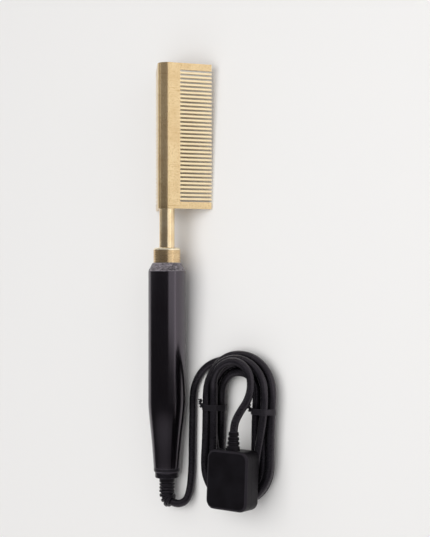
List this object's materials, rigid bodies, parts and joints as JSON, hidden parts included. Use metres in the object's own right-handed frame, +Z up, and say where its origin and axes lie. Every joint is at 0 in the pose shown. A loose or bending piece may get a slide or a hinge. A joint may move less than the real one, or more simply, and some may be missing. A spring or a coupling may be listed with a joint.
{
  "type": "electric hot comb",
  "caption": "Electric straightening comb: a heated brass head with two angled rows of teeth, a black handle, a swivel cord outlet, a coiled cord and a flat plug.",
  "frame": {"origin": "on the floor, under the middle of the comb's own footprint, cord and plug left out", "axes": "+Y along the tool towards the comb head, +Z up, +X towards the coiled cord"},
  "size_m": [0.1123, 0.3196, 0.0347],
  "materials": {
    "head_brass": "satin, cast and ground",
    "neck_brass": "satin, drawn tube",
    "collar_brass": "satin, turned",
    "heater_steel": "plain",
    "mica": "mica tube",
    "heater_wire": "oxidised resistance wire",
    "ceramic_core": "unglazed ceramic",
    "nose_black": "moulded, faintly mottled",
    "bush_phenolic": "moulded phenolic",
    "spring_steel": "plain",
    "handle_black": "satin",
    "cap_black": "moulded",
    "carrier_plastic": "moulded",
    "contact_brass": "plain",
    "lead_sleeve": "braided glass fibre",
    "fuse_metal": "plain",
    "crimp_metal": "tinned",
    "swivel_black": "moulded",
    "boot_rubber": "moulded",
    "cord_rubber": "extruded, satin",
    "tie_plastic": "coated wire",
    "plug_black": "moulded, satin",
    "blade_metal": "nickel-plated"
  },
  "bodies": {
    "comb": {"comb_head": "head_brass", "neck_tube": "neck_brass", "collar": "collar_brass", "heater_sheath": "heater_steel", "heater_insulation": "mica", "heater_winding": "heater_wire", "heater_core": "ceramic_core", "nose_ring": "nose_black", "insulating_bush": "bush_phenolic", "retaining_washer": "spring_steel", "handle_shell": "handle_black", "end_cap": "cap_black", "contact_carrier": "carrier_plastic", "brush_line": "contact_brass", "brush_neutral": "contact_brass", "lead_wire_line_front": "lead_sleeve", "lead_wire_line_rear": "lead_sleeve", "lead_wire_neutral": "lead_sleeve", "thermal_fuse": "fuse_metal", "fuse_sleeve": "lead_sleeve", "crimp_connectors": "crimp_metal"},
    "swivel": {"swivel_hub": "swivel_black", "swivel_circlip": "spring_steel", "slip_ring_line": "contact_brass", "slip_ring_neutral": "contact_brass", "strain_relief_boot": "boot_rubber", "cord_lead": "cord_rubber", "cord_coil": "cord_rubber", "cord_tail": "cord_rubber", "cord_ties": "tie_plastic", "plug_body": "plug_black", "plug_relief": "plug_black", "plug_blade_narrow": "blade_metal", "plug_blade_wide": "blade_metal"}
  },
  "joints": [
    {"name": "cord_swivel", "type": "hinge", "parent": "comb", "child": "swivel", "pos_m": [0, -0.1345, 0.01056], "axis": [0, 0.9982, 0.0592], "continuous": true}
  ]
}
